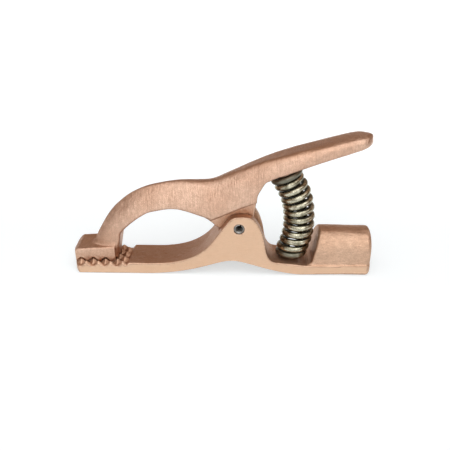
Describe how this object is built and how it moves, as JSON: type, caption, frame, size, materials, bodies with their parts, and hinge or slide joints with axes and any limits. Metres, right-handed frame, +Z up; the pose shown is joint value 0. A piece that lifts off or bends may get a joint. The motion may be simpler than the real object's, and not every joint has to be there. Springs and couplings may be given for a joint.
{
  "type": "welding ground clamp",
  "caption": "Spring-loaded cast copper-alloy clamp with toothed jaws, a squeeze handle, and a cable socket with a clamping screw.",
  "frame": {"origin": "on the surface the clamp stands on, under the middle of its overall length and width", "axes": "+X from the jaw tips towards the cable socket, +Y across the clamp along the pivot pin, +Z up"},
  "size_m": [0.1876, 0.028, 0.0873],
  "materials": {
    "cast_copper_alloy": "tumbled casting, satin",
    "spring_steel": "drawn wire, half bright",
    "pin_steel": "oiled grey",
    "screw_steel": "black oxide"
  },
  "bodies": {
    "lower_casting": {"lower_jaw": "cast_copper_alloy", "pivot_roll_pin": "pin_steel", "jaw_spring": "spring_steel"},
    "upper_casting": {"upper_jaw": "cast_copper_alloy"},
    "screw": {"cable_screw": "screw_steel"}
  },
  "joints": [
    {"name": "jaw_pivot", "type": "hinge", "parent": "lower_casting", "child": "upper_casting", "pos_m": [0.0117, 0, 0.031], "axis": [0, 1, 0], "range_deg": [0, 17], "stiffness_Nm_per_rad": 20, "springref_deg": -14.32, "deforming": ["jaw_spring"]},
    {"name": "cable_screw_travel", "type": "slide", "parent": "lower_casting", "child": "screw", "axis": [0, 0, 1], "range_m": [-0.0045, 0.004]}
  ]
}
